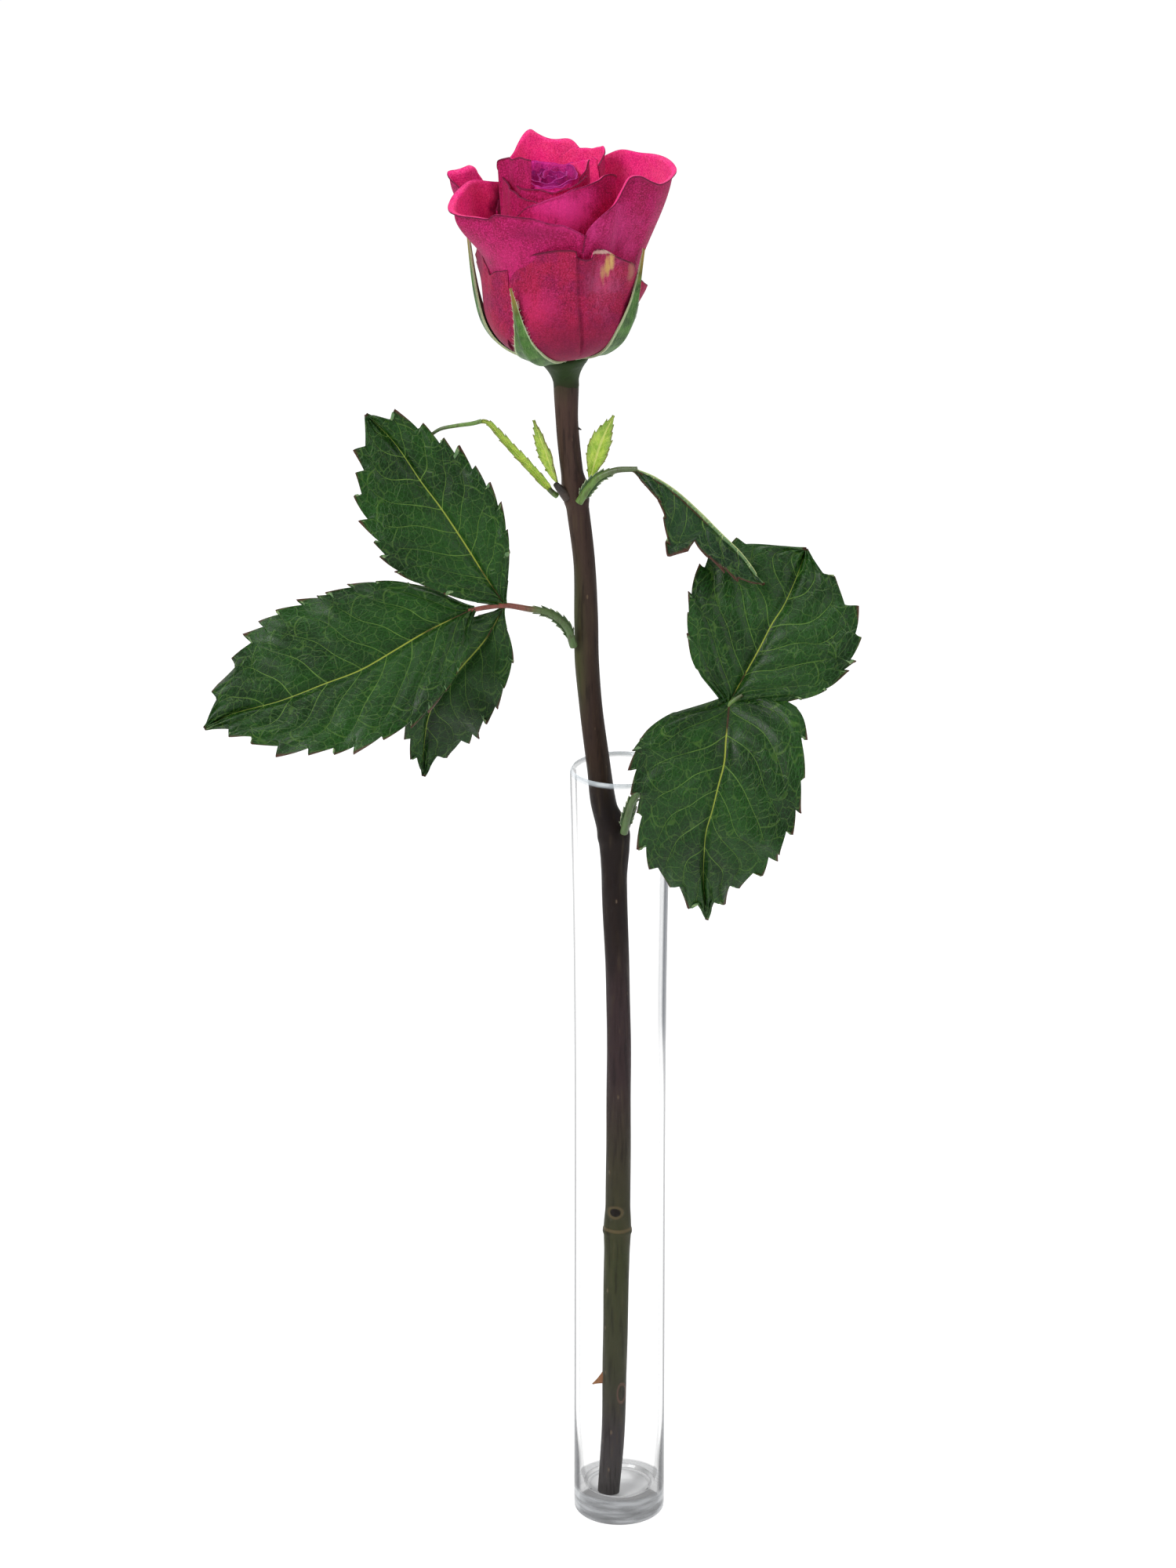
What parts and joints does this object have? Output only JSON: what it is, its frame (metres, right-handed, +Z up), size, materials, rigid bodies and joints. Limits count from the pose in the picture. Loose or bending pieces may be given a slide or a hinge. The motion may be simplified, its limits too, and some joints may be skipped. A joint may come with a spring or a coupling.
{
  "type": "rose in a bud vase",
  "caption": "Cut crimson rose with toothed green leaves, leaning in a tall clear glass bud vase with a thick round foot.",
  "frame": {"origin": "centre of the flat underside of the vase's foot", "axes": "+Z up along the vase, the flower on top; -Y is the front, which the leaves and the open side of the bloom face; +X to the right seen from the front"},
  "size_m": [0.1689, 0.0619, 0.3826],
  "materials": {
    "clear_glass": "polished",
    "stem_bark": "satin",
    "hip_green": "matte",
    "petal_crimson": "matte",
    "leaf_green": "satin",
    "young_leaf_green": "satin"
  },
  "bodies": {
    "root": {"vase": "clear_glass", "stem": "stem_bark", "calyx": "hip_green", "bloom": "petal_crimson", "leaf_lower_left": "leaf_green", "leaf_lower_right": "leaf_green", "leaf_upper_right": "leaf_green", "leaf_upper_left": "young_leaf_green", "leaf_small_left": "young_leaf_green", "leaf_small_right": "young_leaf_green"}
  },
  "joints": []
}
